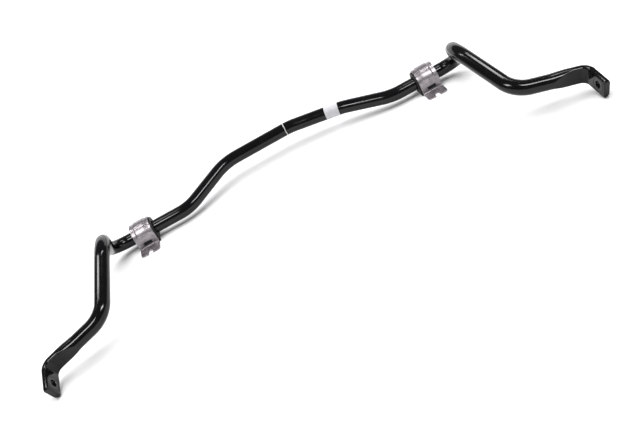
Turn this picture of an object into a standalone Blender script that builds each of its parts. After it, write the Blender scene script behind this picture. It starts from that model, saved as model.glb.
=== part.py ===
"""Front stabilizer (sway) bar with two rubber-bushed saddle clamps.

Metres, +Z up. X runs along the bar, -Y is the side the arms reach to, and the part lies on z = 0 on its
four clamp feet and on the lower edges of its two link eyes. The bar is one bent and end-forged rod; each
clamp is a pressed steel strap around a split rubber bushing, and turns about the bar on its own.
"""
import math

import bmesh
import bpy
from mathutils import Matrix, Vector

MM = 0.001

# Bar. The arms are mirror images; their bends are placed from the middle of the clamp beside them.
BAR_DIAMETER = 26.0 * MM
AXIS_HEIGHT = 21.0 * MM              # clamped axis above the resting plane
AXIS_BACK = 138.7 * MM               # clamped axis behind the middle of the part
CLAMP_HALF_SPACING = 307.5 * MM
ARM_BENDS = [                        # outboard, forward, up, centre-line radius of the bend
    (76.5 * MM, 0.0 * MM, 0.0 * MM, 36.0 * MM),
    (30.5 * MM, 159.0 * MM, 100.5 * MM, 60.0 * MM),
    (70.5 * MM, 284.5 * MM, 35.5 * MM, 45.0 * MM),
    (185.5 * MM, 299.5 * MM, 8.5 * MM, 16.0 * MM),
]
CENTRE_TILT = math.radians(17.8)     # the centre section bows backwards in a plane tilted up by this
CENTRE_BENDS = [                     # along X, offset in the tilted plane, centre-line radius
    (-208.5 * MM, 0.0 * MM, 70.0 * MM),
    (-111.0 * MM, 64.0 * MM, 92.0 * MM),
    (35.0 * MM, 65.5 * MM, 112.0 * MM),
    (143.0 * MM, 41.0 * MM, 112.0 * MM),
    (235.0 * MM, 0.0 * MM, 90.0 * MM),
]

# Forged link eye at each end of the bar.
EYE_REACH = 52.4 * MM                # from the last bend's corner to the end of the plate
EYE_TOE_OUT = math.radians(1.8)
EYE_DROP = math.radians(16.0)
EYE_WIDTH = 32.0 * MM
EYE_THICKNESS = 10.0 * MM
EYE_EDGE_RADIUS = 3.0 * MM
EYE_CORNER_RADIUS = 3.5 * MM
EYE_HOLE_DIAMETER = 12.0 * MM
EYE_HOLE_FROM_END = 18.0 * MM
FLAT_BEFORE_BEND = 14.0 * MM         # flattened stretch ahead of the last bend
FORGED_RAMP = 35.0 * MM              # round to flat

# Saddle clamp.
STRAP_SHEET = 2.8 * MM
STRAP_OUTER_RADIUS = 24.8 * MM
STRAP_LENGTH = 40.0 * MM             # along the bar
STRAP_FOLD_RADIUS = 2.0 * MM
FOOT_REACH = 29.5 * MM               # foot beyond the leg
FOOT_CORNER_RADIUS = 7.0 * MM
NOTCH_WIDTH = 9.0 * MM
NOTCH_CENTRE_IN = 8.0 * MM           # notch's round end centre, in from the foot's edge
WINDOW_LENGTH = 17.0 * MM
WINDOW_HEIGHT = 6.5 * MM
WINDOW_ABOVE_FOLD = 1.75 * MM        # window's lower edge above the start of the fold

# Rubber bushing.
BUSHING_INBOARD_LIP = 3.0 * MM       # rubber beyond the strap's edge, towards the middle of the bar
BUSHING_OUTBOARD_LIP = 0.5 * MM
BUSHING_SLIT = 0.8 * MM
BUSHING_FLARE = 50.0                 # degrees of the strap's fold that the rubber's base follows
LUG_CLEARANCE = 0.5 * MM             # lug to the window's edges
LUG_RECESS = 0.5 * MM                # lug below the strap's outer face
SEAT_GAP = 0.3 * MM                  # between faces that touch on the real part

# Paper label and painted locating line.
LABEL_AT = 122.5 * MM
LABEL_LENGTH = 28.0 * MM
LABEL_THICKNESS = 0.3 * MM
MARK_AT = 24.5 * MM
MARK_LENGTH = 2.5 * MM
MARK_THICKNESS = 0.2 * MM

# Fineness of the faceted solids.
SECTION_POINTS = 20                  # around the bar, a multiple of four
BEND_STEP = math.radians(10.0)
ARC_STEP = math.radians(12.0)        # on the clamp and bushing outlines

BAR_RADIUS = BAR_DIAMETER / 2
STRAP_INNER_RADIUS = STRAP_OUTER_RADIUS - STRAP_SHEET
FOOT_TOP = -AXIS_HEIGHT + STRAP_SHEET
FOOT_EDGE = STRAP_OUTER_RADIUS + FOOT_REACH
FOLD_CENTRE = (STRAP_OUTER_RADIUS + STRAP_FOLD_RADIUS, FOOT_TOP + STRAP_FOLD_RADIUS)
WINDOW_MIDDLE = FOLD_CENTRE[1] + WINDOW_ABOVE_FOLD + WINDOW_HEIGHT / 2


def clear_scene():
    for obj in list(bpy.data.objects):
        bpy.data.objects.remove(obj, do_unlink=True)


def new_collection(name):
    collection = bpy.data.collections.new(name)
    bpy.context.scene.collection.children.link(collection)
    return collection


def principled(name, colour, roughness, metallic=0.0, coat=0.0):
    material = bpy.data.materials.new(name)
    material.use_nodes = True
    shader = material.node_tree.nodes["Principled BSDF"]
    shader.inputs["Base Color"].default_value = (*colour, 1.0)
    shader.inputs["Roughness"].default_value = roughness
    shader.inputs["Metallic"].default_value = metallic
    shader.inputs["Coat Weight"].default_value = coat
    return material


def add_object(name, mesh, collection, material=None, parent=None):
    obj = bpy.data.objects.new(name, mesh)
    collection.objects.link(obj)
    if material:
        mesh.materials.clear()
        mesh.materials.append(material)
    obj.parent = parent
    return obj


def smooth(obj):
    obj.data.shade_smooth()
    obj.data.set_sharp_from_angle(angle=math.radians(35))


# ---------------------------------------------------------------- bar centre line

def arm_corner(bend, side):
    outboard, forward, up, radius = bend
    return Vector((side * (CLAMP_HALF_SPACING + outboard), AXIS_BACK - forward, AXIS_HEIGHT + up)), radius


def centre_corner(bend):
    along, offset, radius = bend
    back = offset * math.cos(CENTRE_TILT)
    up = offset * math.sin(CENTRE_TILT)
    return Vector((along, AXIS_BACK + back, AXIS_HEIGHT + up)), radius


def eye_direction(side):
    level = math.cos(EYE_DROP)
    return Vector((side * level * math.sin(EYE_TOE_OUT), -level * math.cos(EYE_TOE_OUT), -math.sin(EYE_DROP)))


def eye_tip(side):
    corner, _ = arm_corner(ARM_BENDS[-1], side)
    return corner + eye_direction(side) * EYE_REACH


def bar_corners():
    """The centre line's corners from the left eye's end to the right one's, with their bend radii."""
    left = [arm_corner(bend, -1) for bend in reversed(ARM_BENDS)]
    centre = [centre_corner(bend) for bend in CENTRE_BENDS]
    right = [arm_corner(bend, 1) for bend in ARM_BENDS]
    return [(eye_tip(-1), 0.0)] + left + centre + right + [(eye_tip(1), 0.0)]


class CentreLine:
    """Straight runs joined by arcs, read by the distance from its start."""

    def __init__(self, corners):
        self.pieces = []             # start distance, length, and what evaluates the piece
        self.length = 0.0
        points = [point for point, _ in corners]
        start = points[0]
        for before, (corner, radius), after in zip(points, corners[1:-1], points[2:]):
            inward = (corner - before).normalized()
            outward = (after - corner).normalized()
            turn = inward.angle(outward)
            tangent = radius * math.tan(turn / 2)
            self._add_run(start, corner - inward * tangent)
            self._add_arc(corner - inward * tangent, inward, outward, radius, turn)
            start = corner + outward * tangent
        self._add_run(start, points[-1])

    def _add_run(self, start, end):
        direction = (end - start).normalized()
        self._add((end - start).length, 1, lambda s: (start + direction * s, direction))

    def _add_arc(self, start, inward, outward, radius, turn):
        to_centre = (outward - inward * inward.dot(outward)).normalized()
        centre = start + to_centre * radius

        def evaluate(s):
            angle = s / radius
            place = centre - to_centre * radius * math.cos(angle) + inward * radius * math.sin(angle)
            return place, inward * math.cos(angle) + to_centre * math.sin(angle)

        self._add(radius * turn, math.ceil(turn / BEND_STEP), evaluate)

    def _add(self, length, parts, evaluate):
        self.pieces.append((self.length, length, parts, evaluate))
        self.length += length

    def stations(self):
        """Distances where the bar needs a ring of points."""
        return [start + length * i / parts for start, length, parts, _ in self.pieces for i in range(parts)]

    def at(self, distance):
        for start, length, _, evaluate in self.pieces:
            if distance <= start + length:
                return evaluate(distance - start)
        start, length, _, evaluate = self.pieces[-1]
        return evaluate(length)


# ---------------------------------------------------------------- bar

def flat_length(line):
    """From the end of the eye back to where the forged ramp begins to widen."""
    last_run = line.pieces[-1][1]
    last_arc = line.pieces[-2][1]
    return last_run + last_arc + FLAT_BEFORE_BEND


def section_sizes(from_end, flat):
    """Half width, half thickness and edge radius of the bar's section."""
    plate = (EYE_WIDTH / 2, EYE_THICKNESS / 2, EYE_EDGE_RADIUS)
    if from_end < EYE_CORNER_RADIUS:
        depth = EYE_CORNER_RADIUS - from_end
        cut = EYE_CORNER_RADIUS - math.sqrt(EYE_CORNER_RADIUS ** 2 - depth ** 2)
        return plate[0] - cut, plate[1], plate[2]
    if from_end <= flat:
        return plate
    ramp = min((from_end - flat) / FORGED_RAMP, 1.0)
    return tuple(size + (BAR_RADIUS - size) * ramp for size in plate)


def bar_stations(line):
    """Ring distances: the centre line's own, and extra ones along the eyes and forged ramps."""
    flat = flat_length(line)
    extra = [EYE_CORNER_RADIUS * (1 - math.sin(math.radians(angle))) for angle in (90, 60, 40, 20, 0)]
    extra += [flat + FORGED_RAMP * i / 5 for i in range(6)]
    inner = [s for s in line.stations() if s > EYE_CORNER_RADIUS]
    found = set(inner + extra + [line.length - s for s in extra])
    return sorted(found)


def section_ring(centre, across, through, sizes):
    """Rounded rectangle, or a circle where all three sizes are the same."""
    half_width, half_thickness, edge = sizes
    per_corner = SECTION_POINTS // 4
    ring = []
    for corner in range(4):
        mid = math.pi / 4 + corner * math.pi / 2
        for i in range(per_corner):
            angle = corner * math.pi / 2 + (i + 0.5) / per_corner * math.pi / 2
            u = math.copysign(half_width - edge, math.cos(mid)) + edge * math.cos(angle)
            v = math.copysign(half_thickness - edge, math.sin(mid)) + edge * math.sin(angle)
            ring.append(centre + across * u + through * v)
    return ring


def eye_width_direction(side):
    """Across the plate: square to the arm's last run and to the eye."""
    corner, _ = arm_corner(ARM_BENDS[-1], side)
    before, _ = arm_corner(ARM_BENDS[-2], side)
    across = (corner - before).cross(eye_direction(side)).normalized()
    return across if across.z > 0 else -across


def carried_directions(line, distances):
    """The plate's width direction, carried along the bar without twisting, at each ring."""
    _, tangent = line.at(distances[0])
    across = eye_width_direction(-1)
    directions = []
    for distance in distances:
        _, next_tangent = line.at(distance)
        across = tangent.rotation_difference(next_tangent) @ across
        across = (across - next_tangent * across.dot(next_tangent)).normalized()
        tangent = next_tangent
        directions.append(across)
    return directions


def untwist(line, distances, directions):
    """Turn the carried directions evenly over the round length, so that the right eye lies true too."""
    round_start = flat_length(line) + FORGED_RAMP
    round_length = line.length - 2 * round_start
    _, tangent = line.at(line.length)
    wanted = eye_width_direction(1)
    error = math.atan2(tangent.dot(directions[-1].cross(wanted)), directions[-1].dot(wanted))
    turned = []
    for distance, across in zip(distances, directions):
        share = min(max((distance - round_start) / round_length, 0.0), 1.0)
        _, along = line.at(distance)
        turned.append(Matrix.Rotation(error * share, 3, along) @ across)
    return turned


def bar_mesh(line):
    distances = bar_stations(line)
    directions = untwist(line, distances, carried_directions(line, distances))
    flat = flat_length(line)
    bm = bmesh.new()
    rings = []
    for distance, across in zip(distances, directions):
        centre, along = line.at(distance)
        sizes = section_sizes(min(distance, line.length - distance), flat)
        ring = section_ring(centre, across, along.cross(across), sizes)
        rings.append([bm.verts.new(point) for point in ring])
    for near, far in zip(rings, rings[1:]):
        for i in range(SECTION_POINTS):
            j = (i + 1) % SECTION_POINTS
            bm.faces.new((near[i], near[j], far[j], far[i]))
    bm.faces.new(list(reversed(rings[0])))
    bm.faces.new(rings[-1])
    bmesh.ops.recalc_face_normals(bm, faces=bm.faces)
    mesh = bpy.data.meshes.new("stabilizer_bar")
    bm.to_mesh(mesh)
    bm.free()
    return mesh


def frame_matrix(origin, z_axis):
    return Matrix.Translation(origin) @ z_axis.to_track_quat("Z", "Y").to_matrix().to_4x4()


def cylinder_cutter(name, radius, length, matrix, cutters):
    bm = bmesh.new()
    bmesh.ops.create_cone(bm, cap_ends=True, segments=24, radius1=radius, radius2=radius, depth=length)
    mesh = bpy.data.meshes.new(name)
    bm.to_mesh(mesh)
    bm.free()
    obj = add_object(name, mesh, cutters)
    obj.matrix_world = matrix
    return as_cutter(obj)


def as_cutter(obj):
    obj.hide_render = True
    obj.display_type = "WIRE"
    return obj


def boolean(obj, cutter, operation="DIFFERENCE"):
    modifier = obj.modifiers.new(cutter.name, "BOOLEAN")
    modifier.operation = operation
    modifier.object = cutter
    modifier.solver = "EXACT"


def make_bar(line, parts, cutters):
    steel = principled("black_coated_steel", (0.012, 0.012, 0.013), 0.22, coat=0.5)
    bar = add_object("stabilizer_bar", bar_mesh(line), parts, steel)
    for side, name in ((-1, "left_eye_hole"), (1, "right_eye_hole")):
        along = eye_direction(side)
        centre = eye_tip(side) - along * EYE_HOLE_FROM_END
        axis = along.cross(eye_width_direction(side))
        matrix = frame_matrix(centre, axis)
        boolean(bar, cylinder_cutter(name, EYE_HOLE_DIAMETER / 2, EYE_THICKNESS * 3, matrix, cutters))
    smooth(bar)


# ---------------------------------------------------------------- outlines

def arc(centre, radius, start, end):
    """Points in the outline's plane, both ends included; angles in degrees."""
    steps = max(2, round(abs(math.radians(end - start)) / ARC_STEP))
    angles = [math.radians(start + (end - start) * i / steps) for i in range(steps + 1)]
    return [(centre[0] + radius * math.cos(a), centre[1] + radius * math.sin(a)) for a in angles]


def extruded_outline(name, outline, length, turn, collection):
    """A flat closed outline given a length centred on its plane, as a mesh turned by a matrix."""
    curve = bpy.data.curves.new(name, "CURVE")
    curve.dimensions = "2D"
    curve.fill_mode = "BOTH"
    curve.extrude = length / 2
    spline = curve.splines.new("POLY")
    spline.points.add(len(outline) - 1)
    for point, (a, b) in zip(spline.points, outline):
        point.co = (a, b, 0.0, 1.0)
    spline.use_cyclic_u = True
    holder = bpy.data.objects.new(name + "_outline", curve)
    collection.objects.link(holder)
    bpy.context.view_layer.update()
    depsgraph = bpy.context.evaluated_depsgraph_get()
    mesh = bpy.data.meshes.new_from_object(holder.evaluated_get(depsgraph))
    bpy.data.objects.remove(holder, do_unlink=True)
    bpy.data.curves.remove(curve)
    bm = bmesh.new()
    bm.from_mesh(mesh)
    bmesh.ops.remove_doubles(bm, verts=bm.verts, dist=0.00001)
    bmesh.ops.transform(bm, matrix=turn, verts=bm.verts)
    bmesh.ops.recalc_face_normals(bm, faces=bm.faces)
    bm.to_mesh(mesh)
    bm.free()
    mesh.name = name
    return mesh


# The outline's two directions become Y and Z, its length X.
ACROSS_BAR = Matrix(((0, 0, 1, 0), (1, 0, 0, 0), (0, 1, 0, 0), (0, 0, 0, 1)))
IN_PLAN = Matrix.Identity(4)


def box_mesh(name, size, centre):
    bm = bmesh.new()
    bmesh.ops.create_cube(bm, size=1.0)
    bmesh.ops.scale(bm, vec=size, verts=bm.verts)
    bmesh.ops.translate(bm, vec=centre, verts=bm.verts)
    mesh = bpy.data.meshes.new(name)
    bm.to_mesh(mesh)
    bm.free()
    return mesh


# ---------------------------------------------------------------- saddle clamps

def strap_outline():
    """The pressed sheet seen along the bar: arch, two legs, and feet folded outwards."""
    outer = arc((0, 0), STRAP_OUTER_RADIUS, 90, 0)[1:]
    outer += arc(FOLD_CENTRE, STRAP_FOLD_RADIUS, 180, 270)
    outer += [(FOOT_EDGE, FOOT_TOP), (FOOT_EDGE, -AXIS_HEIGHT)]
    inner = arc(FOLD_CENTRE, STRAP_FOLD_RADIUS + STRAP_SHEET, 270, 180)
    inner += arc((0, 0), STRAP_INNER_RADIUS, 0, 90)[:-1]
    left = [(-a, b) for a, b in reversed(outer + inner)]
    return [(0, STRAP_OUTER_RADIUS)] + outer + inner + [(0, STRAP_INNER_RADIUS)] + left


def round_foot_corners(mesh):
    bm = bmesh.new()
    bm.from_mesh(mesh)
    corners = [
        edge for edge in bm.edges
        if all(abs(abs(v.co.y) - FOOT_EDGE) < 0.00001 for v in edge.verts)
        and abs(edge.verts[0].co.x - edge.verts[1].co.x) < 0.00001
    ]
    bmesh.ops.bevel(bm, geom=corners, offset=FOOT_CORNER_RADIUS, affect="EDGES", segments=4, profile=0.5,
                    material=-1)
    bm.to_mesh(mesh)
    bm.free()


def notch_outline(side):
    """Open-ended bolt notch in one foot, seen from above: X, then Y."""
    centre_y = side * (FOOT_EDGE - NOTCH_CENTRE_IN)
    beyond = side * (FOOT_EDGE + NOTCH_WIDTH)
    half = NOTCH_WIDTH / 2
    round_end = arc((0, centre_y), half, 0, -180 * side)
    return round_end + [(-half, beyond), (half, beyond)]


def make_strap(side_name, axis, steel, parts, cutters):
    name = side_name + "_clamp_strap"
    mesh = extruded_outline(name, strap_outline(), STRAP_LENGTH, ACROSS_BAR, parts)
    round_foot_corners(mesh)
    strap = add_object(name, mesh, parts, steel, axis)
    window_size = (WINDOW_LENGTH, FOOT_EDGE * 3, WINDOW_HEIGHT)
    window_mesh = box_mesh(name + "_windows", window_size, (0, 0, WINDOW_MIDDLE))
    boolean(strap, as_cutter(add_object(name + "_windows", window_mesh, cutters, parent=axis)))
    for way, end in ((-1, "front"), (1, "rear")):
        notch_name = f"{name}_{end}_notch"
        notch_mesh = extruded_outline(notch_name, notch_outline(way), STRAP_SHEET * 3, IN_PLAN, cutters)
        notch = as_cutter(add_object(notch_name, notch_mesh, cutters, parent=axis))
        notch.location.z = FOOT_TOP
        boolean(strap, notch)
    smooth(strap)


def bushing_outline():
    """D shape around the bar, flared into the strap's folds, with a slit to the rear to open over the bar."""
    outer_radius = STRAP_INNER_RADIUS - SEAT_GAP
    base = -AXIS_HEIGHT + SEAT_GAP
    bore = (BAR_RADIUS + SEAT_GAP) / math.cos(ARC_STEP / 2)
    half_slit = BUSHING_SLIT / 2
    slit_out = math.degrees(math.asin(half_slit / outer_radius))
    slit_in = math.degrees(math.asin(half_slit / bore))
    flare = arc(FOLD_CENTRE, STRAP_FOLD_RADIUS + STRAP_SHEET + SEAT_GAP, 180 + BUSHING_FLARE, 180)
    foot = [(flare[0][0], base)] + flare
    outline = arc((0, 0), outer_radius, slit_out, 180)
    outline += [(-a, b) for a, b in reversed(foot)] + foot
    outline += [(outer_radius, -half_slit)]
    outline += arc((0, 0), bore, 360 - slit_in, slit_in)
    return outline


def make_bushing(side, side_name, axis, rubber, parts, cutters):
    name = side_name + "_bushing"
    length = STRAP_LENGTH + BUSHING_INBOARD_LIP + BUSHING_OUTBOARD_LIP
    inboard = -side * (BUSHING_INBOARD_LIP - BUSHING_OUTBOARD_LIP) / 2
    placed = Matrix.Translation((inboard, 0, 0)) @ ACROSS_BAR
    mesh = extruded_outline(name, bushing_outline(), length, placed, parts)
    bushing = add_object(name, mesh, parts, rubber, axis)
    lug_tip = STRAP_OUTER_RADIUS - LUG_RECESS
    lug_root = STRAP_INNER_RADIUS - 3 * SEAT_GAP
    lug_size = (WINDOW_LENGTH - 2 * LUG_CLEARANCE, lug_tip - lug_root, WINDOW_HEIGHT - 2 * LUG_CLEARANCE)
    for way, end in ((-1, "front"), (1, "rear")):
        centre = (0, way * (lug_tip + lug_root) / 2, WINDOW_MIDDLE)
        lug_name = f"{name}_{end}_lug"
        lug = add_object(lug_name, box_mesh(lug_name, lug_size, centre), cutters, parent=axis)
        boolean(bushing, as_cutter(lug), "UNION")
    smooth(bushing)


def make_clamps(parts, cutters):
    steel = principled("phosphated_steel", (0.36, 0.34, 0.35), 0.42, metallic=0.85)
    rubber = principled("black_rubber", (0.015, 0.015, 0.015), 0.75)
    for side, side_name in ((-1, "left"), (1, "right")):
        axis = bpy.data.objects.new(side_name + "_clamp_axis", None)
        parts.objects.link(axis)
        axis.location = (side * CLAMP_HALF_SPACING, AXIS_BACK, AXIS_HEIGHT)
        make_strap(side_name, axis, steel, parts, cutters)
        make_bushing(side, side_name, axis, rubber, parts, cutters)


# ---------------------------------------------------------------- label and painted line

def distance_at_x(line, x):
    """Distance along the centre section where the bar crosses a given X."""
    low, high = line.length * 0.3, line.length * 0.7
    for _ in range(50):
        middle = (low + high) / 2
        place, _ = line.at(middle)
        if place.x < x:
            low = middle
        else:
            high = middle
    return low


def make_sleeve(name, line, x, length, thickness, material, parts):
    """A thin turned ring around the bar, square to its centre line."""
    facet = math.cos(math.pi / SECTION_POINTS)
    inner = (BAR_RADIUS + SEAT_GAP) / facet
    outer = inner + thickness
    bm = bmesh.new()
    outline = [(outer, length / 2), (outer, -length / 2), (inner, -length / 2), (inner, length / 2)]
    verts = [bm.verts.new((radius, 0, z)) for radius, z in outline]
    for i in range(4):
        bm.edges.new((verts[i], verts[(i + 1) % 4]))
    mesh = bpy.data.meshes.new(name)
    bm.to_mesh(mesh)
    bm.free()
    sleeve = add_object(name, mesh, parts, material)
    screw = sleeve.modifiers.new("turned", "SCREW")
    screw.axis = "Z"
    screw.steps = screw.render_steps = SECTION_POINTS
    screw.use_merge_vertices = True
    screw.merge_threshold = 0.00001
    place, along = line.at(distance_at_x(line, x))
    sleeve.matrix_world = frame_matrix(place, along)


def make_markings(line, parts):
    paper = principled("label_paper", (0.85, 0.85, 0.84), 0.6)
    paint = principled("white_paint", (0.86, 0.86, 0.85), 0.4)
    make_sleeve("part_label", line, LABEL_AT, LABEL_LENGTH, LABEL_THICKNESS, paper, parts)
    make_sleeve("paint_line", line, MARK_AT, MARK_LENGTH, MARK_THICKNESS, paint, parts)


clear_scene()
PARTS = new_collection("stabilizer_bar_assembly")
CUTTERS = new_collection("cutters")
CENTRE_LINE = CentreLine(bar_corners())
make_bar(CENTRE_LINE, PARTS, CUTTERS)
make_clamps(PARTS, CUTTERS)
make_markings(CENTRE_LINE, PARTS)
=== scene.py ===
"""Looks of a front stabilizer bar with its two saddle clamps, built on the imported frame. Metres, +Z up."""

import math

import bmesh
import bpy
from mathutils import Matrix, Vector


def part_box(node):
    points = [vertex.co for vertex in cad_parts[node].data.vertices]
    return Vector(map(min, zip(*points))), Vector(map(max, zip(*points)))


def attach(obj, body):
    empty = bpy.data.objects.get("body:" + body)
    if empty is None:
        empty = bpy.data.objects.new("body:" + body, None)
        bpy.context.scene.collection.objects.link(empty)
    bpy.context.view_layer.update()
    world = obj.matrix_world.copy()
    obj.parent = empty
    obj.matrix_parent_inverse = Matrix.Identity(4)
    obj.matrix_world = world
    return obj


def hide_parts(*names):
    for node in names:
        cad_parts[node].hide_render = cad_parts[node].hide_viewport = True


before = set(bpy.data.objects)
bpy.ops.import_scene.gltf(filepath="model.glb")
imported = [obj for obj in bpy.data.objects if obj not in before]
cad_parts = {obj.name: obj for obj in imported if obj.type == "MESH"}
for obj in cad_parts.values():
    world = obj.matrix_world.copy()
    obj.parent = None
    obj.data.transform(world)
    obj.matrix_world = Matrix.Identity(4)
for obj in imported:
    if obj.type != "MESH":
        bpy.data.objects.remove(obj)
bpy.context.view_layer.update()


# ---------------------------------------------------------------- camera
# A long-lens product view from the front, above the link eyes, with the camera turned about its own
# axis so that the bar climbs from lower left to upper right.

def look_from(place, tilt_down, turn_left, lean, lens):
    data = bpy.data.cameras.new("camera")
    data.lens = lens
    data.sensor_width = 36.0
    data.sensor_fit = "HORIZONTAL"
    data.clip_end = 50.0
    camera = bpy.data.objects.new("camera", data)
    bpy.context.scene.collection.objects.link(camera)
    aim = Matrix.Rotation(math.radians(90 - tilt_down), 4, "X")
    aim = aim @ Matrix.Rotation(math.radians(turn_left), 4, "Y") @ Matrix.Rotation(math.radians(lean), 4, "Z")
    camera.matrix_world = Matrix.Translation(place) @ aim
    bpy.context.scene.camera = camera


look_from((0.0317, -1.3513, 0.7072), tilt_down=29.3, turn_left=0.9, lean=-28.76, lens=47.98)
bpy.context.scene.view_settings.view_transform = "Standard"


# ---------------------------------------------------------------- the bar
# One solid rod of spring steel, bent cold between rollers, shot-peened, and dipped in black electrocoat.
# Its two ends are pressed flat hot between dies, trimmed round, pierced, and faced round the hole for a
# link's shoulder.

ROD_RADIUS = 0.013
ARM_BENDS = [                    # outboard of the clamp, forward of and above the clamped axis, bend radius
    (0.0765, 0.0, 0.0, 0.036),
    (0.0305, 0.159, 0.1005, 0.060),
    (0.0705, 0.2845, 0.0355, 0.045),
    (0.1855, 0.2995, 0.0085, 0.016),
]
CENTRE_TILT = math.radians(17.8)
CENTRE_BENDS = [                 # along X, back in a plane tilted up, bend radius
    (-0.2085, 0.0, 0.070),
    (-0.111, 0.064, 0.092),
    (0.035, 0.0655, 0.112),
    (0.143, 0.041, 0.112),
    (0.235, 0.0, 0.090),
]
BEND_STEP = math.radians(3.0)

EYE_REACH = 0.0524               # from the last bend's corner to the end of the plate
EYE_TOE_OUT = math.radians(1.8)
EYE_DROP = math.radians(16.0)
EYE_HALF_WIDTH = 0.016
EYE_HALF_THICKNESS = 0.005
EYE_CORNER_RADIUS = 0.0035
FLAT_BEFORE_BEND = 0.014
FORGED_RAMP = 0.035
HOLE_RADIUS = 0.006
HOLE_FROM_END = 0.018
HOLE_CHAMFER = 0.0006
SEAT_RADIUS = 0.0115             # faced ring that a link's shoulder bears on
SEAT_DEPTH = 0.0003

EDGE_RADIUS = 0.003              # left by the dies between a pressed face and the rod's round side
SIDE_STEPS = 8                   # per quarter of the section: round side, corner, and half of a face
CORNER_STEPS = 6
FACE_STEPS = 4
QUARTER = SIDE_STEPS + CORNER_STEPS + FACE_STEPS
ROUND_SIDE = math.radians(60)    # the side's share of a quarter where the rod is still round
END_CHAMFER = 0.0007             # where the ends are trimmed
CORNER_TURN = 15                 # degrees between sections round an eye's end corner
RAMP_STEPS = 10
TOOL_REACH = 0.012               # of the facing tool, either way from a plate's middle
MERGE = 0.000001                 # points closer than this are one point

ARCH_RADIUS = 0.0248             # outside of a strap's arch


def strap_centre(side_name):
    """Middle of a clamp on the bar's axis, from its strap's box: the arch's top is one radius above it."""
    low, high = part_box(side_name + "_clamp_strap")
    return Vector(((low.x + high.x) / 2, (low.y + high.y) / 2, high.z - ARCH_RADIUS))


AXIS = strap_centre("right")


def part_way(low, high, value):
    """0 below low, 1 above high, and a straight line between."""
    return min(max((value - low) / (high - low), 0.0), 1.0)


def arm_corner(bend, side):
    """Where two of an arm's straight runs would meet, and the radius that they are bent round there."""
    outboard, forward, up, radius = bend
    return Vector((side * (AXIS.x + outboard), AXIS.y - forward, AXIS.z + up)), radius


def centre_corner(bend):
    """The same for the middle stretch, which lies in a plane tilted up to the rear."""
    along, back, radius = bend
    level = back * math.cos(CENTRE_TILT)
    return Vector((along, AXIS.y + level, AXIS.z + back * math.sin(CENTRE_TILT))), radius


def eye_along(side):
    """The way a link plate points, out from the bar."""
    level = math.cos(EYE_DROP)
    return Vector((side * level * math.sin(EYE_TOE_OUT), -level * math.cos(EYE_TOE_OUT), -math.sin(EYE_DROP)))


def eye_across(side):
    """The way a link plate's width runs: square to the plane of the last bend, and upwards."""
    run = arm_corner(ARM_BENDS[-1], side)[0] - arm_corner(ARM_BENDS[-2], side)[0]
    across = run.cross(eye_along(side)).normalized()
    return across if across.z > 0 else -across


def eye_end(side):
    return arm_corner(ARM_BENDS[-1], side)[0] + eye_along(side) * EYE_REACH


def bar_route():
    """Places and directions along the bar's centre line, from the left eye's end to the right one's."""
    corners = [(eye_end(-1), 0.0)] + [arm_corner(bend, -1) for bend in reversed(ARM_BENDS)]
    corners += [centre_corner(bend) for bend in CENTRE_BENDS]
    corners += [arm_corner(bend, 1) for bend in ARM_BENDS] + [(eye_end(1), 0.0)]
    points = [place for place, _ in corners]
    route = [(points[0], (points[1] - points[0]).normalized())]
    for before, (corner, radius), after in zip(points, corners[1:-1], points[2:]):
        inward = (corner - before).normalized()
        outward = (after - corner).normalized()
        turn = inward.angle(outward)
        start = corner - inward * radius * math.tan(turn / 2)
        pole = inward.cross(outward).normalized()
        centre = start + pole.cross(inward) * radius
        steps = math.ceil(turn / BEND_STEP)
        for i in range(steps + 1):
            spin = Matrix.Rotation(turn * i / steps, 3, pole)
            route.append((centre + spin @ (start - centre), spin @ inward))
    route.append((points[-1], (points[-1] - points[-2]).normalized()))
    return route


def with_distances(route):
    """The route's stations as (distance, place, direction)."""
    stations = [(0.0, *route[0])]
    for place, direction in route[1:]:
        stations.append((stations[-1][0] + (place - stations[-1][1]).length, place, direction))
    return stations


def place_at(stations, distance):
    """Place and direction at a distance along the bar."""
    for near, far in zip(stations, stations[1:]):
        if distance <= far[0]:
            share = (distance - near[0]) / (far[0] - near[0])
            return near[1].lerp(far[1], share), near[2].lerp(far[2], share).normalized()
    return stations[-1][1], stations[-1][2]


def pressed_quarter(half_width, half_thickness):
    """A quarter of the section, from the middle of a side to the middle of a face: the rod's round side,
    a corner, and the flat left by the die. At full thickness it is a quarter of a circle."""
    shift = half_width - ROD_RADIUS
    inner = ROD_RADIUS - EDGE_RADIUS
    rise = half_thickness - EDGE_RADIUS
    reach = math.sqrt(max(inner ** 2 - rise ** 2, 0.0))
    corner = math.atan2(rise, reach)
    side = min(corner, ROUND_SIDE)
    lengths = [ROD_RADIUS * (corner - side), EDGE_RADIUS * (math.pi / 2 - corner), shift + reach]

    def beyond_side(share):
        along = share * sum(lengths)
        if along < lengths[0]:
            angle = side + along / ROD_RADIUS
            return shift + ROD_RADIUS * math.cos(angle), ROD_RADIUS * math.sin(angle)
        if along < lengths[0] + lengths[1]:
            angle = corner + (along - lengths[0]) / EDGE_RADIUS
            return shift + reach + EDGE_RADIUS * math.cos(angle), rise + EDGE_RADIUS * math.sin(angle)
        return sum(lengths) - along, half_thickness

    angles = [side * k / SIDE_STEPS for k in range(SIDE_STEPS)]
    points = [(shift + ROD_RADIUS * math.cos(a), ROD_RADIUS * math.sin(a)) for a in angles]
    turned = (lengths[0] + lengths[1]) / sum(lengths)
    if corner > side:
        turned = CORNER_STEPS / (CORNER_STEPS + FACE_STEPS)
    points += [beyond_side(turned * k / CORNER_STEPS) for k in range(CORNER_STEPS)]
    points += [beyond_side(turned + (1 - turned) * k / FACE_STEPS) for k in range(FACE_STEPS + 1)]
    return points


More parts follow.
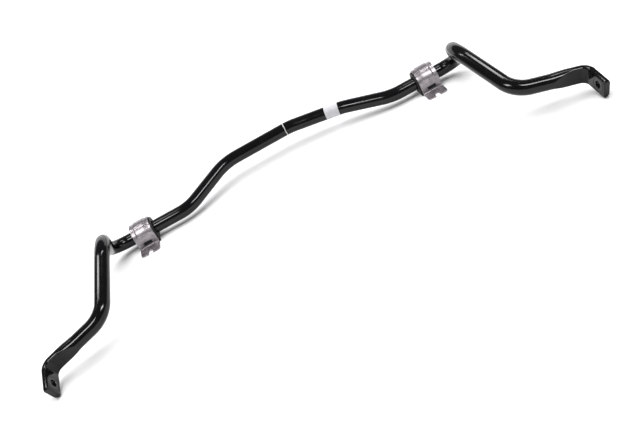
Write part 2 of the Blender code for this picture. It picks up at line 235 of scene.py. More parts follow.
def section_point(i, quarter):
    """The section's point of that number, counted right round from the middle of one side."""
    turn, k = divmod(i, QUARTER)
    u, v = quarter[QUARTER - k] if turn % 2 else quarter[k]
    return (-u if turn in (1, 2) else u), (-v if turn in (2, 3) else v)


def section_sizes(from_end, flat):
    """Half width and half thickness at a distance from the nearer end of the bar."""
    if from_end < EYE_CORNER_RADIUS:
        depth = EYE_CORNER_RADIUS - from_end
        trimmed = EYE_CORNER_RADIUS - math.sqrt(EYE_CORNER_RADIUS ** 2 - depth ** 2)
        return EYE_HALF_WIDTH - trimmed, EYE_HALF_THICKNESS
    ramp = part_way(flat, flat + FORGED_RAMP, from_end)
    half_width = EYE_HALF_WIDTH + (ROD_RADIUS - EYE_HALF_WIDTH) * ramp
    return half_width, EYE_HALF_THICKNESS + (ROD_RADIUS - EYE_HALF_THICKNESS) * ramp


def draw_on(bm, edges):
    """Draws a row of edges on by one row, still in the same place: the new points, and their edges."""
    grown = bmesh.ops.extrude_edge_only(bm, edges=edges)["geom"]
    row = [item for item in grown if isinstance(item, bmesh.types.BMVert)]
    fresh = set(row)
    return row, [e for e in grown if isinstance(e, bmesh.types.BMEdge) and fresh.issuperset(e.verts)]


def as_mesh(bm, name):
    mesh = bpy.data.meshes.new(name)
    bm.to_mesh(mesh)
    bm.free()
    return mesh


def bar_mesh():
    """The section drawn along the whole bar, flattened on the way into each eye, and capped."""
    route = with_distances(bar_route())
    length = route[-1][0]
    last_run = arm_corner(ARM_BENDS[-1], 1)[0] - arm_corner(ARM_BENDS[-2], 1)[0]
    last_bend = last_run.angle(eye_along(1)) * ARM_BENDS[-1][3]
    flat = route[1][0] + last_bend + FLAT_BEFORE_BEND
    ends = [EYE_CORNER_RADIUS * (1 - math.cos(math.radians(a))) for a in range(0, 91, CORNER_TURN)]
    ends += [flat + FORGED_RAMP * i / RAMP_STEPS for i in range(RAMP_STEPS + 1)]
    inner = [s for s, _, _ in route if EYE_CORNER_RADIUS < s < length - EYE_CORNER_RADIUS]
    distances = sorted(set(inner + ends + [length - s for s in ends]))

    # The section is carried from bend to bend untwisted. What it then lacks at the far eye is made up
    # evenly over the round rod, where a turn of the section can't be seen.
    across = eye_across(-1)
    _, along = place_at(route, 0.0)
    frames = []
    for distance in distances:
        place, next_along = place_at(route, distance)
        across = along.rotation_difference(next_along) @ across
        across = (across - next_along * across.dot(next_along)).normalized()
        along = next_along
        frames.append((distance, place, along, across))
    wanted = eye_across(1)
    lacking = math.atan2(along.dot(across.cross(wanted)), across.dot(wanted))
    round_start = flat + FORGED_RAMP

    bm = bmesh.new()
    number = bm.verts.layers.int.new("number")
    segments = 4 * QUARTER
    ring = bmesh.ops.create_circle(bm, cap_ends=False, segments=segments, radius=ROD_RADIUS)["verts"]
    for i, vert in enumerate(ring):
        vert[number] = i
    edges = list(bm.edges)
    for distance, place, along, across in frames:
        if distance > distances[0]:
            ring, edges = draw_on(bm, edges)
        turned = lacking * part_way(round_start, length - round_start, distance)
        across = Matrix.Rotation(turned, 3, along) @ across
        through = along.cross(across)
        quarter = pressed_quarter(*section_sizes(min(distance, length - distance), flat))
        for vert in ring:
            u, v = section_point(vert[number], quarter)
            vert.co = place + across * u + through * v
    caps = bmesh.ops.holes_fill(bm, edges=bm.edges, sides=segments)["faces"]
    rims = [edge for face in caps for edge in face.edges]
    bmesh.ops.recalc_face_normals(bm, faces=bm.faces)
    bmesh.ops.bevel(bm, geom=rims, affect="EDGES", offset=END_CHAMFER, segments=2, profile=0.5, material=-1)
    return as_mesh(bm, "bar")


def add_piece(name, mesh):
    piece = bpy.data.objects.new(name, mesh)
    bpy.context.scene.collection.objects.link(piece)
    return piece


def cut(piece, cutters, operation="DIFFERENCE"):
    """Cuts or joins with the given objects, which are used up; their materials come along."""
    for cutter in cutters:
        modifier = piece.modifiers.new(cutter.name, "BOOLEAN")
        modifier.operation = operation
        modifier.object = cutter
        modifier.solver = "EXACT"
        modifier.material_mode = "TRANSFER"
    settle(piece)
    for cutter in cutters:
        bpy.data.objects.remove(cutter, do_unlink=True)


def settle(piece):
    """Keeps what a piece's modifiers made as its mesh."""
    bpy.context.view_layer.update()
    seen = piece.evaluated_get(bpy.context.evaluated_depsgraph_get())
    made = bpy.data.meshes.new_from_object(seen)
    piece.modifiers.clear()
    piece.data = made


def shade(piece, crease):
    """Smooth shading, broken at edges sharper than the crease in degrees."""
    piece.data.shade_smooth()
    piece.data.set_sharp_from_angle(angle=math.radians(crease))


def eye_cutter(side):
    """Turned tool that leaves the hole, its chamfers and the faced rings on both sides of a plate."""
    face = EYE_HALF_THICKNESS - SEAT_DEPTH
    outline = [
        (0.0, -TOOL_REACH), (SEAT_RADIUS, -TOOL_REACH), (SEAT_RADIUS, -face),
        (HOLE_RADIUS + HOLE_CHAMFER, -face), (HOLE_RADIUS, -face + HOLE_CHAMFER),
        (HOLE_RADIUS, face - HOLE_CHAMFER), (HOLE_RADIUS + HOLE_CHAMFER, face),
        (SEAT_RADIUS, face), (SEAT_RADIUS, TOOL_REACH), (0.0, TOOL_REACH),
    ]
    bm = bmesh.new()
    verts = [bm.verts.new((radius, 0.0, height)) for radius, height in outline]
    edges = [bm.edges.new(pair) for pair in zip(verts, verts[1:])]
    bmesh.ops.spin(bm, geom=verts + edges, cent=(0, 0, 0), axis=(0, 0, 1), angle=math.tau, steps=48,
                   use_merge=True)
    bmesh.ops.remove_doubles(bm, verts=bm.verts, dist=MERGE)
    bmesh.ops.recalc_face_normals(bm, faces=bm.faces)
    for facet in bm.faces:
        on_seat = abs(facet.normal.z) > 0.99
        facet.material_index = int(on_seat)
    along = eye_along(side)
    normal = along.cross(eye_across(side))
    centre = eye_end(side) - along * HOLE_FROM_END
    place = Matrix.Translation(centre) @ normal.to_track_quat("Z", "Y").to_matrix().to_4x4()
    bmesh.ops.transform(bm, matrix=place, verts=bm.verts)
    return add_piece("eye_tool", as_mesh(bm, "eye_tool"))


def colour(code):
    """An sRGB hex code as a linear colour."""
    channels = [int(code[i:i + 2], 16) / 255 for i in (1, 3, 5)]
    linear = [c / 12.92 if c <= 0.04045 else ((c + 0.055) / 1.055) ** 2.4 for c in channels]
    return (*linear, 1.0)


def new_material(name):
    material = bpy.data.materials.new(name)
    material.use_nodes = True
    return material, material.node_tree, material.node_tree.nodes["Principled BSDF"]


def add(tree, kind, values=(), links=(), **settings):
    """A node with its settings, its sockets' values as (socket, value) and its links as (socket, source)."""
    node = tree.nodes.new(kind)
    for name, value in settings.items():
        setattr(node, name, value)
    for socket, value in values:
        node.inputs[socket].default_value = value
    for socket, source in links:
        tree.links.new(source, node.inputs[socket])
    return node


def marks(millimetres):
    """A pattern's scale, from the width of one of its marks: Object coordinates are in metres."""
    return 1000 / millimetres


def electrocoat():
    """Black electrocoat on peened steel: glossy and thin, so the peening shows as a fine ripple."""
    material, tree, shader = new_material("black_electrocoat")
    shader.inputs["Specular IOR Level"].default_value = 0.3
    # Its thickness wanders over some 22 mm. Dust nibs are under half a millimetre, and are drawn 1.1 mm
    # wide to show; peening dents are about 0.6 mm, and are drawn 4.5 mm wide for the same reason.
    place = add(tree, "ShaderNodeTexCoord").outputs["Object"]
    cloud = add(tree, "ShaderNodeTexNoise", [("Scale", marks(22.2)), ("Detail", 4.0)], [("Vector", place)])
    dust = add(tree, "ShaderNodeTexNoise", [("Scale", marks(1.11)), ("Detail", 2.0)], [("Vector", place)])
    speck = add(tree, "ShaderNodeMapRange", [("From Min", 0.68), ("From Max", 0.78)],
                [("Value", dust.outputs["Fac"])])
    tint = add(tree, "ShaderNodeMix", [("A", colour("#060607")), ("B", colour("#0e0e0f"))],
               [("Factor", cloud.outputs["Fac"])], data_type="RGBA")
    dusty = add(tree, "ShaderNodeMix", [("B", colour("#2c2c2d"))],
                [("Factor", speck.outputs["Result"]), ("A", tint.outputs["Result"])], data_type="RGBA")
    tree.links.new(dusty.outputs["Result"], shader.inputs["Base Color"])
    gloss = add(tree, "ShaderNodeMapRange",
                [("From Min", 0.3), ("From Max", 0.7), ("To Min", 0.08), ("To Max", 0.16)],
                [("Value", cloud.outputs["Fac"])])
    tree.links.new(gloss.outputs["Result"], shader.inputs["Roughness"])
    peel = add(tree, "ShaderNodeTexNoise", [("Scale", marks(4.55)), ("Detail", 2.0)], [("Vector", place)])
    bump = add(tree, "ShaderNodeBump", [("Strength", 0.12), ("Distance", 0.0001)],
               [("Height", peel.outputs["Fac"])])
    tree.links.new(bump.outputs["Normal"], shader.inputs["Normal"])
    return material


def faced_seat():
    """The ring round each hole, cut after forging and coated thin: greyer, with an uneven dull gloss."""
    material, tree, shader = new_material("faced_seat")
    shader.inputs["Base Color"].default_value = colour("#3c3c3e")
    shader.inputs["Metallic"].default_value = 0.4
    # The tool's marks are some 0.2 mm apart, and are drawn as 0.67 mm grain to show.
    place = add(tree, "ShaderNodeTexCoord").outputs["Object"]
    grain = add(tree, "ShaderNodeTexNoise", [("Scale", marks(0.667)), ("Detail", 3.0)], [("Vector", place)])
    gloss = add(tree, "ShaderNodeMapRange", [("To Min", 0.3), ("To Max", 0.5)],
                [("Value", grain.outputs["Fac"])])
    tree.links.new(gloss.outputs["Result"], shader.inputs["Roughness"])
    return material


bar = add_piece("bar", bar_mesh())
coat_finish = electrocoat()
seat_finish = faced_seat()
bar.data.materials.append(coat_finish)
eye_tools = [eye_cutter(side) for side in (-1, 1)]
for tool in eye_tools:
    tool.data.materials.append(coat_finish)
    tool.data.materials.append(seat_finish)
cut(bar, eye_tools)
shade(bar, crease=13)
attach(bar, "bar")
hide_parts("stabilizer_bar")


# ---------------------------------------------------------------- painted line
# A narrow ring of white paint, brushed on while the bar turned, that shows a fitter the bar's middle.

LINE_AT = 0.0245
LINE_WIDTH = 0.002
PAINT_THICKNESS = 0.00008
LINE_WANDER = 0.00035            # of the brushed edges
SKIN_TURN = 5                    # degrees between points round a skin


def distance_at_x(stations, x):
    """Distance along the bar where its middle stretch crosses a given X."""
    for near, far in zip(stations, stations[1:]):
        if near[1].x <= x < far[1].x and abs(x) < AXIS.x:
            return near[0] + (far[0] - near[0]) * (x - near[1].x) / (far[1].x - near[1].x)


def wrap(x, length, rows, turn, radius_at, wander=0.0):
    """A skin round the bar's middle stretch: a row of points spun round the bar, then drawn along it.
    Its two edges can wander, as a brush's do."""
    stations = with_distances(bar_route())
    middle = distance_at_x(stations, x)
    bm = bmesh.new()
    angles = bm.verts.layers.float.new("angle")
    points = round(math.degrees(turn) / SKIN_TURN)
    first = bm.verts.new((1.0, 0.0, 0.0))
    bmesh.ops.spin(bm, geom=[first], cent=(0, 0, 0), axis=(0, 0, 1), angle=turn, steps=points)
    row = list(bm.verts)
    for i, vert in enumerate(row):
        vert[angles] = turn * i / points
    edges = list(bm.edges)
    for i in range(rows + 1):
        if i:
            row, edges = draw_on(bm, edges)
        share = i / rows - 0.5
        place, along = place_at(stations, middle + length * share)
        out = along.cross(Vector((0, 0, 1))).normalized()
        up = out.cross(along)
        for vert in row:
            angle = vert[angles]
            wave = wander * 2 * share * math.sin(5 * angle + 9 * share) * math.sin(2 * angle + 1)
            direction = out * math.cos(angle) + up * math.sin(angle)
            vert.co = place + direction * radius_at(angle) + along * wave
    bmesh.ops.remove_doubles(bm, verts=bm.verts, dist=MERGE)
    for facet in bm.faces:
        facet.normal_update()
    heart, _ = place_at(stations, middle)
    inward = [f for f in bm.faces if f.normal.dot(f.calc_center_median() - heart) < 0]
    bmesh.ops.reverse_faces(bm, faces=inward)
    return as_mesh(bm, "wrap")


def thicken(piece, thickness, inward=False):
    """Gives a skin its thickness: outwards, or inwards and even through its folds."""
    modifier = piece.modifiers.new("thickness", "SOLIDIFY")
    modifier.thickness = thickness
    modifier.offset = -1.0 if inward else 1.0
    modifier.use_even_offset = inward
    settle(piece)


def line_paint():
    """White enamel brushed on by hand: slightly streaky, half gloss."""
    material, tree, shader = new_material("white_enamel")
    shader.inputs["Roughness"].default_value = 0.35
    # Bristles leave streaks of about 0.3 mm, drawn 1.7 mm wide to show.
    place = add(tree, "ShaderNodeTexCoord").outputs["Object"]
    streak = add(tree, "ShaderNodeTexNoise", [("Scale", marks(1.67)), ("Detail", 3.0)], [("Vector", place)])
    tint = add(tree, "ShaderNodeMix", [("A", colour("#a9a9a6")), ("B", colour("#cfcfcc"))],
               [("Factor", streak.outputs["Fac"])], data_type="RGBA")
    tree.links.new(tint.outputs["Result"], shader.inputs["Base Color"])
    bump = add(tree, "ShaderNodeBump", [("Strength", 0.4), ("Distance", 0.00005)],
               [("Height", streak.outputs["Fac"])])
    tree.links.new(bump.outputs["Normal"], shader.inputs["Normal"])
    return material


line = add_piece("line", wrap(LINE_AT, LINE_WIDTH, 4, math.tau, lambda angle: ROD_RADIUS, LINE_WANDER))
line.data.materials.append(line_paint())
thicken(line, PAINT_THICKNESS)
shade(line, crease=40)
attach(line, "bar")
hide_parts("paint_line")


# ---------------------------------------------------------------- label
# A blank white paper label wrapped right round the rod, its end lapped over its start at the back.

LABEL_AT = 0.1225
LABEL_LENGTH = 0.028
LABEL_THICKNESS = 0.00012
LABEL_GAP = 0.00002              # of glue between paper and rod
LAP = math.radians(28)
CLIMB = math.radians(6)          # turn in which the paper rises on to its own start
CLIMB_HEIGHT = 1.3 * LABEL_THICKNESS


def label_radius(angle):
    """The paper climbs by a little more than its thickness where it laps over its start."""
    return ROD_RADIUS + LABEL_GAP + CLIMB_HEIGHT * part_way(math.tau - CLIMB, math.tau, angle)


def label_paper():
    """Matt coated paper: nearly white, with a faint fibre and a soft ripple from being rubbed down."""
    material, tree, shader = new_material("label_paper")
    shader.inputs["Specular IOR Level"].default_value = 0.3
    # Ripples are some 11 mm apart. Fibres are a few hundredths of a millimetre wide, drawn 0.4 mm to show.
    place = add(tree, "ShaderNodeTexCoord").outputs["Object"]
    cloud = add(tree, "ShaderNodeTexNoise", [("Scale", marks(11.1)), ("Detail", 3.0)], [("Vector", place)])
    fibre = add(tree, "ShaderNodeTexNoise", [("Scale", marks(0.4)), ("Detail", 2.0)], [("Vector", place)])
    tint = add(tree, "ShaderNodeMix", [("A", colour("#bebec2")), ("B", colour("#d0d0d3"))],
               [("Factor", cloud.outputs["Fac"])], data_type="RGBA")
    tree.links.new(tint.outputs["Result"], shader.inputs["Base Color"])
    gloss = add(tree, "ShaderNodeMapRange", [("To Min", 0.5), ("To Max", 0.75)],
                [("Value", fibre.outputs["Fac"])])
    tree.links.new(gloss.outputs["Result"], shader.inputs["Roughness"])
    ripple = add(tree, "ShaderNodeMath", [], [(0, cloud.outputs["Fac"]), (1, fibre.outputs["Fac"])],
                 operation="ADD")
    bump = add(tree, "ShaderNodeBump", [("Strength", 0.3), ("Distance", 0.0001)],
               [("Height", ripple.outputs["Value"])])
    tree.links.new(bump.outputs["Normal"], shader.inputs["Normal"])
    return material


label = add_piece("label", wrap(LABEL_AT, LABEL_LENGTH, 14, math.tau + LAP, label_radius))
label.data.materials.append(label_paper())
thicken(label, LABEL_THICKNESS)
shade(label, crease=40)
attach(label, "bar")
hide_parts("part_label")


# ---------------------------------------------------------------- clamp straps
# Each strap is blanked and folded from one strip of steel, with a raised band pressed into its arch
# between two plain rims, a window punched in each leg for the rubber's lug, and an open bolt notch in
# each foot. It is barrel-phosphated, which leaves it dull silver grey and slightly speckled.

SHEET = 0.0028
FOLD_RADIUS = 0.002
FOOT_CORNER = 0.007
NOTCH_RADIUS = 0.0045
NOTCH_CENTRE_IN = 0.008          # from the foot's edge
WINDOW_LENGTH = 0.017
WINDOW_HEIGHT = 0.0065
WINDOW_CORNER = 0.001
WINDOW_ABOVE_FOLD = 0.00175
BAND_EDGE = 0.0128               # from the strap's middle to where the band's shoulder starts
BAND_SHOULDER = 0.0026
BAND_RISE = 0.0015
BAND_FADE = (0.002, 0.008)       # above the bar's axis, where the band runs out into the legs
BURR_RADIUS = 0.0004
FOLD_STEPS = 6
ARCH_STEPS = 48
SHOULDER_STEPS = 5
THROUGH_LEGS = Vector((0.0, 1.0, 0.0))
THROUGH_FEET = Vector((0.0, 0.0, 1.0))


def ease(low, high, value):
    """0 below low, 1 above high, and an S-curve between."""
    share = part_way(low, high, value)
    return share * share * (3 - 2 * share)


def window_height(side_name):
    """Height of the middle of a strap's windows."""
    low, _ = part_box(side_name + "_clamp_strap")
    return low.z + SHEET + FOLD_RADIUS + WINDOW_ABOVE_FOLD + WINDOW_HEIGHT / 2


def draw_to(bm, vert, y, z):
    """Draws the outline on to a place with a straight line."""
    new = bmesh.ops.extrude_vert_indiv(bm, verts=[vert])["verts"][0]
    new.co = (vert.co.x, y, z)
    return new


def draw_round(bm, vert, y, z, degrees, steps):
    """Draws the outline on round a centre."""
    spun = bmesh.ops.spin(bm, geom=[vert], cent=(0, y, z), axis=(1, 0, 0), angle=math.radians(degrees),
                          steps=steps)
    return next(item for item in spun["geom_last"] if isinstance(item, bmesh.types.BMVert))


def strap_mesh(low, high, centre):
    """The strap's outer face as a sheet, in the place that its box gives."""
    half_length = (high.x - low.x) / 2
    foot_edge = (high.y - low.y) / 2
    foot_top = low.z - centre.z + SHEET
    fold_y, fold_z = ARCH_RADIUS + FOLD_RADIUS, foot_top + FOLD_RADIUS
    bm = bmesh.new()
    vert = bm.verts.new((-half_length, -foot_edge, foot_top))
    vert = draw_to(bm, vert, -fold_y, foot_top)
    vert = draw_round(bm, vert, -fold_y, fold_z, 90, FOLD_STEPS)
    vert = draw_to(bm, vert, -ARCH_RADIUS, 0.0)
    vert = draw_round(bm, vert, 0.0, 0.0, -180, ARCH_STEPS)
    vert = draw_to(bm, vert, ARCH_RADIUS, fold_z)
    vert = draw_round(bm, vert, fold_y, fold_z, 90, FOLD_STEPS)
    draw_to(bm, vert, foot_edge, foot_top)

    shoulder = [BAND_EDGE - BAND_SHOULDER * i / SHOULDER_STEPS for i in range(SHOULDER_STEPS + 1)]
    stations = [-x for x in shoulder] + [-shoulder[-1] / 2, 0.0, shoulder[-1] / 2] + shoulder[::-1]
    edges = list(bm.edges)
    for x in stations + [half_length]:
        row, edges = draw_on(bm, edges)
        for vert in row:
            vert.co.x = x
    for vert in bm.verts:
        band = ease(-BAND_EDGE, -BAND_EDGE + BAND_SHOULDER, -abs(vert.co.x)) * ease(*BAND_FADE, vert.co.z)
        out = Vector((0, vert.co.y, vert.co.z)).normalized()
        vert.co += out * BAND_RISE * band
    corners = [v for v in bm.verts if len(v.link_edges) == 2 and abs(abs(v.co.y) - foot_edge) < MERGE]
    bmesh.ops.bevel(bm, geom=corners, affect="VERTICES", offset=FOOT_CORNER, segments=8, profile=0.5,
                    material=-1)
    bmesh.ops.recalc_face_normals(bm, faces=bm.faces)
    # An open sheet has no inside of its own, so the top of the arch says which way is out.
    if max(bm.faces, key=lambda f: f.calc_center_median().z).normal.z < 0:
        bmesh.ops.reverse_faces(bm, faces=bm.faces)
    bmesh.ops.translate(bm, verts=bm.verts, vec=centre)
    return as_mesh(bm, "strap")


def punch(name, size, centre, along, radius):
    """A block with the edges that run along its stroke rounded."""
    bm = bmesh.new()
    bmesh.ops.create_cube(bm, size=1.0)
    bmesh.ops.scale(bm, vec=size, verts=bm.verts)
    edges = [e for e in bm.edges if (e.verts[0].co - e.verts[1].co).cross(along).length < MERGE]
    bmesh.ops.bevel(bm, geom=edges, affect="EDGES", offset=radius, segments=5, profile=0.5, material=-1)
    bmesh.ops.translate(bm, vec=centre, verts=bm.verts)
    return add_piece(name, as_mesh(bm, name))


def phosphated_steel():
    """Zinc phosphate on pressed sheet: a dull metal with crystals that catch the light one by one."""
    material, tree, shader = new_material("phosphated_steel")
    shader.inputs["Metallic"].default_value = 0.9
    # The barrel leaves it cloudy over some 8 mm. The crystals are a few hundredths of a millimetre, and
    # are drawn 1.1 mm wide to show.
    place = add(tree, "ShaderNodeTexCoord").outputs["Object"]
    cloud = add(tree, "ShaderNodeTexNoise", [("Scale", marks(8.33)), ("Detail", 4.0)], [("Vector", place)])
    crystal = add(tree, "ShaderNodeTexVoronoi", [("Scale", marks(1.11))], [("Vector", place)])
    tint = add(tree, "ShaderNodeMix", [("A", colour("#767175")), ("B", colour("#b3adb1"))],
               [("Factor", cloud.outputs["Fac"])], data_type="RGBA")
    each = add(tree, "ShaderNodeSeparateColor", [], [("Color", crystal.outputs["Color"])])
    speckled = add(tree, "ShaderNodeMix", [("Factor", 0.35)],
                   [("A", tint.outputs["Result"]), ("B", each.outputs["Red"])],
                   data_type="RGBA", blend_type="SOFT_LIGHT")
    tree.links.new(speckled.outputs["Result"], shader.inputs["Base Color"])
    gloss = add(tree, "ShaderNodeMapRange", [("From Max", 0.6), ("To Min", 0.26), ("To Max", 0.4)],
                [("Value", crystal.outputs["Distance"])])
    tree.links.new(gloss.outputs["Result"], shader.inputs["Roughness"])
    bump = add(tree, "ShaderNodeBump", [("Strength", 0.35), ("Distance", 0.0001)],
               [("Height", crystal.outputs["Distance"])])
    tree.links.new(bump.outputs["Normal"], shader.inputs["Normal"])
    return material


def soften(piece, radius, limit):
    """Rounds every edge sharper than the limit in degrees."""
    modifier = piece.modifiers.new("edges", "BEVEL")
    modifier.width = radius
    modifier.segments = 2
    modifier.limit_method = "ANGLE"
    modifier.angle_limit = math.radians(limit)
    modifier.use_clamp_overlap = False
    settle(piece)


def add_strap(side_name, finish):
    low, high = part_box(side_name + "_clamp_strap")
    centre = strap_centre(side_name)
    strap = add_piece(side_name + "_strap", strap_mesh(low, high, centre))
    strap.data.materials.append(finish)
    thicken(strap, SHEET, inward=True)
    punches = [punch("window", (WINDOW_LENGTH, high.y - low.y, WINDOW_HEIGHT),
                     (centre.x, centre.y, window_height(side_name)), THROUGH_LEGS, WINDOW_CORNER)]
    for edge, way in ((low.y, -1), (high.y, 1)):
        reach = NOTCH_RADIUS * 4
        middle = edge + way * (reach / 2 - NOTCH_CENTRE_IN - NOTCH_RADIUS)
        size = (2 * NOTCH_RADIUS, reach, SHEET * 4)
        almost_round = NOTCH_RADIUS * 0.999      # a full radius would leave faces of no width
        punches.append(punch("notch", size, (centre.x, middle, low.z), THROUGH_FEET, almost_round))
    cut(strap, punches)
    soften(strap, BURR_RADIUS, limit=40)
    shade(strap, crease=20)
    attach(strap, side_name + "_clamp")
    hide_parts(side_name + "_clamp_strap")


strap_finish = phosphated_steel()
add_strap("left", strap_finish)
add_strap("right", strap_finish)


# ---------------------------------------------------------------- bushings
# Each bushing is one moulding of black natural rubber, slit at the back to open over the rod. It fills
# the strap, its base swells into the folds, its lugs stand in the windows, and a groove round the bore
# in each end face leaves a soft sealing lip.

BORE_GAP = 0.0001
SLIT = 0.0008
SEAT_GAP = 0.0003                # between rubber and strap
FLARE = 50                       # degrees of the strap's fold that the base follows
BORE_STEPS = 64
GROOVE = (0.0152, 0.0168)        # inner and outer radius
GROOVE_DEPTH = 0.0008
GROOVE_STEPS = 48
LUG_GAP = 0.0005                 # round a lug in its window, and behind the strap's outer face
LUG_ROOT = 0.0012                # how far a lug starts behind the strap's inner face
LUG_CORNER = 0.0008
RUBBER_EDGE = 0.00022


def bushing_mesh(low, high, centre):
    """The moulding's outline, from the slit round the outside and back round the bore, drawn to length."""
    outer = ARCH_RADIUS - SHEET - SEAT_GAP
    bore = ROD_RADIUS + BORE_GAP
    base = low.z - centre.z
    fold_y, fold_z = ARCH_RADIUS + FOLD_RADIUS, base - SEAT_GAP + SHEET + FOLD_RADIUS
    flare_radius = FOLD_RADIUS + SHEET + SEAT_GAP
    foot_y = fold_y - flare_radius * math.cos(math.radians(FLARE))
    slit_out = math.degrees(math.asin(SLIT / 2 / outer))
    slit_in = math.degrees(math.asin(SLIT / 2 / bore))
    bm = bmesh.new()
    vert = bm.verts.new((low.x, outer * math.cos(math.radians(slit_out)), SLIT / 2))
    vert = draw_round(bm, vert, 0, 0, 180 - slit_out, ARCH_STEPS)
    vert = draw_to(bm, vert, -outer, fold_z)
    vert = draw_round(bm, vert, -fold_y, fold_z, -FLARE, FOLD_STEPS)
    vert = draw_to(bm, vert, -foot_y, base)
    vert = draw_to(bm, vert, foot_y, base)
    vert = draw_to(bm, vert, foot_y, fold_z - flare_radius * math.sin(math.radians(FLARE)))
    vert = draw_round(bm, vert, fold_y, fold_z, -FLARE, FOLD_STEPS)
    vert = draw_to(bm, vert, outer, -SLIT / 2)
    vert = draw_to(bm, vert, bore * math.cos(math.radians(slit_in)), -SLIT / 2)
    vert = draw_round(bm, vert, 0, 0, -360 + 2 * slit_in, BORE_STEPS)
    draw_to(bm, vert, outer * math.cos(math.radians(slit_out)), SLIT / 2)
    bmesh.ops.remove_doubles(bm, verts=bm.verts, dist=MERGE)
    bmesh.ops.contextual_create(bm, geom=bm.edges)
    grown = bmesh.ops.extrude_face_region(bm, geom=bm.faces)["geom"]
    far = [item for item in grown if isinstance(item, bmesh.types.BMVert)]
    bmesh.ops.translate(bm, verts=far, vec=(high.x - low.x, 0, 0))
    bmesh.ops.recalc_face_normals(bm, faces=bm.faces)
    bmesh.ops.translate(bm, verts=bm.verts, vec=(0, centre.y, centre.z))
    return as_mesh(bm, "bushing")


def groove_core(x, centre):
    """Turned core that leaves the groove in an end face at a given X."""
    inner, outer = GROOVE
    bm = bmesh.new()
    outline = [(-GROOVE_DEPTH, inner), (GROOVE_DEPTH, inner), (GROOVE_DEPTH, outer), (-GROOVE_DEPTH, outer)]
    verts = [bm.verts.new((x + across, radius, 0.0)) for across, radius in outline]
    edges = [bm.edges.new(pair) for pair in zip(verts, verts[1:] + verts[:1])]
    bmesh.ops.spin(bm, geom=verts + edges, cent=(0, 0, 0), axis=(1, 0, 0), angle=math.tau,
                   steps=GROOVE_STEPS, use_merge=True)
    bmesh.ops.remove_doubles(bm, verts=bm.verts, dist=MERGE)
    bmesh.ops.recalc_face_normals(bm, faces=bm.faces)
    bmesh.ops.translate(bm, verts=bm.verts, vec=(0, centre.y, centre.z))
    return add_piece("groove", as_mesh(bm, "groove"))


def moulded_rubber():
    """Carbon-black natural rubber from a blasted mould: very dark, matt, with a faint grey bloom."""
    material, tree, shader = new_material("moulded_rubber")
    shader.inputs["Specular IOR Level"].default_value = 0.35
    # The bloom lies in patches of about 7 mm. The mould's blasted grain is some 0.1 mm, and is drawn
    # 0.56 mm wide to show.
    place = add(tree, "ShaderNodeTexCoord").outputs["Object"]
    bloom = add(tree, "ShaderNodeTexNoise", [("Scale", marks(7.14)), ("Detail", 5.0)], [("Vector", place)])
    grain = add(tree, "ShaderNodeTexNoise", [("Scale", marks(0.556)), ("Detail", 2.0)], [("Vector", place)])
    tint = add(tree, "ShaderNodeMix", [("A", colour("#0b0b0b")), ("B", colour("#1d1c1c"))],
               [("Factor", bloom.outputs["Fac"])], data_type="RGBA")
    tree.links.new(tint.outputs["Result"], shader.inputs["Base Color"])
    gloss = add(tree, "ShaderNodeMapRange", [("To Min", 0.45), ("To Max", 0.75)],
                [("Value", bloom.outputs["Fac"])])
    tree.links.new(gloss.outputs["Result"], shader.inputs["Roughness"])
    bump = add(tree, "ShaderNodeBump", [("Strength", 0.3), ("Distance", 0.0001)],
               [("Height", grain.outputs["Fac"])])
    tree.links.new(bump.outputs["Normal"], shader.inputs["Normal"])
    return material


def add_bushing(side_name, finish):
    low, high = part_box(side_name + "_bushing")
    centre = strap_centre(side_name)
    bushing = add_piece(side_name + "_rubber", bushing_mesh(low, high, centre))
    bushing.data.materials.append(finish)
    tip = ARCH_RADIUS - LUG_GAP
    root = ARCH_RADIUS - SHEET - LUG_ROOT
    size = (WINDOW_LENGTH - 2 * LUG_GAP, tip - root, WINDOW_HEIGHT - 2 * LUG_GAP)
    lugs = []
    for way in (-1, 1):
        middle = (centre.x, centre.y + way * (tip + root) / 2, window_height(side_name))
        lugs.append(punch("lug", size, middle, THROUGH_LEGS, LUG_CORNER))
    cores = [groove_core(x, centre) for x in (low.x, high.x)]
    for tool in lugs + cores:
        tool.data.materials.append(finish)
    cut(bushing, lugs, "UNION")
    cut(bushing, cores)
    soften(bushing, RUBBER_EDGE, limit=40)
    shade(bushing, crease=20)
    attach(bushing, side_name + "_clamp")
    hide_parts(side_name + "_bushing")


rubber_finish = moulded_rubber()
add_bushing("left", rubber_finish)
add_bushing("right", rubber_finish)


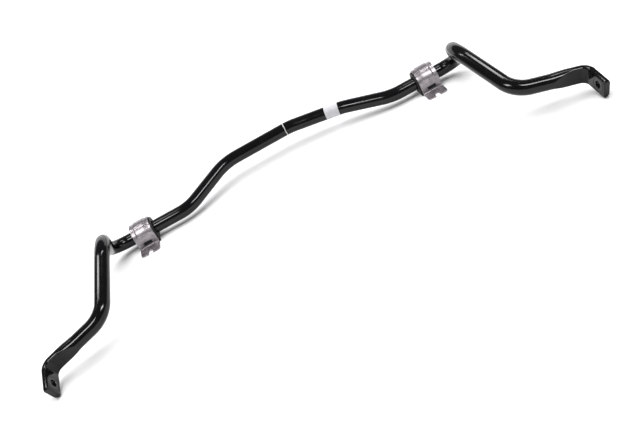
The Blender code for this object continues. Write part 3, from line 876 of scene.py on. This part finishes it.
# ---------------------------------------------------------------- floor and light
# A plain pale floor and soft studio light. One wide panel overhead lights every surface. Two strips in
# front, two overhead and a card behind are seen only in reflections, as the lines along glossy steel.

FLOOR_HALF_WIDTH = 12.0


def floor_paint():
    """Matt white paint, with no gloss at all, so the floor only shows soft shadows."""
    material, _, shader = new_material("pale_floor")
    shader.inputs["Base Color"].default_value = colour("#f4f4f4")
    shader.inputs["Roughness"].default_value = 0.9
    shader.inputs["Specular IOR Level"].default_value = 0.0
    return material


def add_floor():
    bm = bmesh.new()
    bmesh.ops.create_grid(bm, x_segments=1, y_segments=1, size=FLOOR_HALF_WIDTH)
    floor = add_piece("floor", as_mesh(bm, "floor"))
    floor.data.materials.append(floor_paint())


def add_light(name, place, target, size, radiance, reflected):
    """A soft panel of a given brightness, either only seen in reflections or only lighting surfaces."""
    data = bpy.data.lights.new(name, "AREA")
    data.shape = "RECTANGLE"
    data.size, data.size_y = size
    data.energy = radiance * math.pi * size[0] * size[1]
    light = bpy.data.objects.new(name, data)
    bpy.context.scene.collection.objects.link(light)
    light.location = place
    light.rotation_euler = (Vector(target) - Vector(place)).to_track_quat("-Z", "Y").to_euler()
    light.visible_glossy = reflected
    light.visible_diffuse = not reflected


def add_world():
    world = bpy.data.worlds.new("studio")
    world.use_nodes = True
    world.node_tree.nodes["Background"].inputs["Color"].default_value = colour("#6c6c6e")
    bpy.context.scene.world = world


add_floor()
add_world()
add_light("fill", (0.0, 1.5, 5.0), (0.0, 1.0, 0.0), (9.0, 9.0), 3.3, False)
add_light("left_strip", (-1.0, -1.1, 1.5), (-1.0, 0.0, 0.03), (0.96, 0.32), 24.0, True)
add_light("right_strip", (1.0, -1.1, 1.5), (1.0, 0.0, 0.03), (1.04, 0.32), 24.0, True)
add_light("left_top", (-0.95, 0.3, 2.0), (-0.36, 0.0, 0.05), (0.22, 0.9), 18.0, True)
add_light("right_top", (0.95, 0.3, 2.0), (0.36, 0.0, 0.05), (0.22, 0.9), 18.0, True)
add_light("back_card", (0.0, 2.6, 0.9), (0.0, 0.0, 0.05), (6.0, 1.4), 1.6, True)
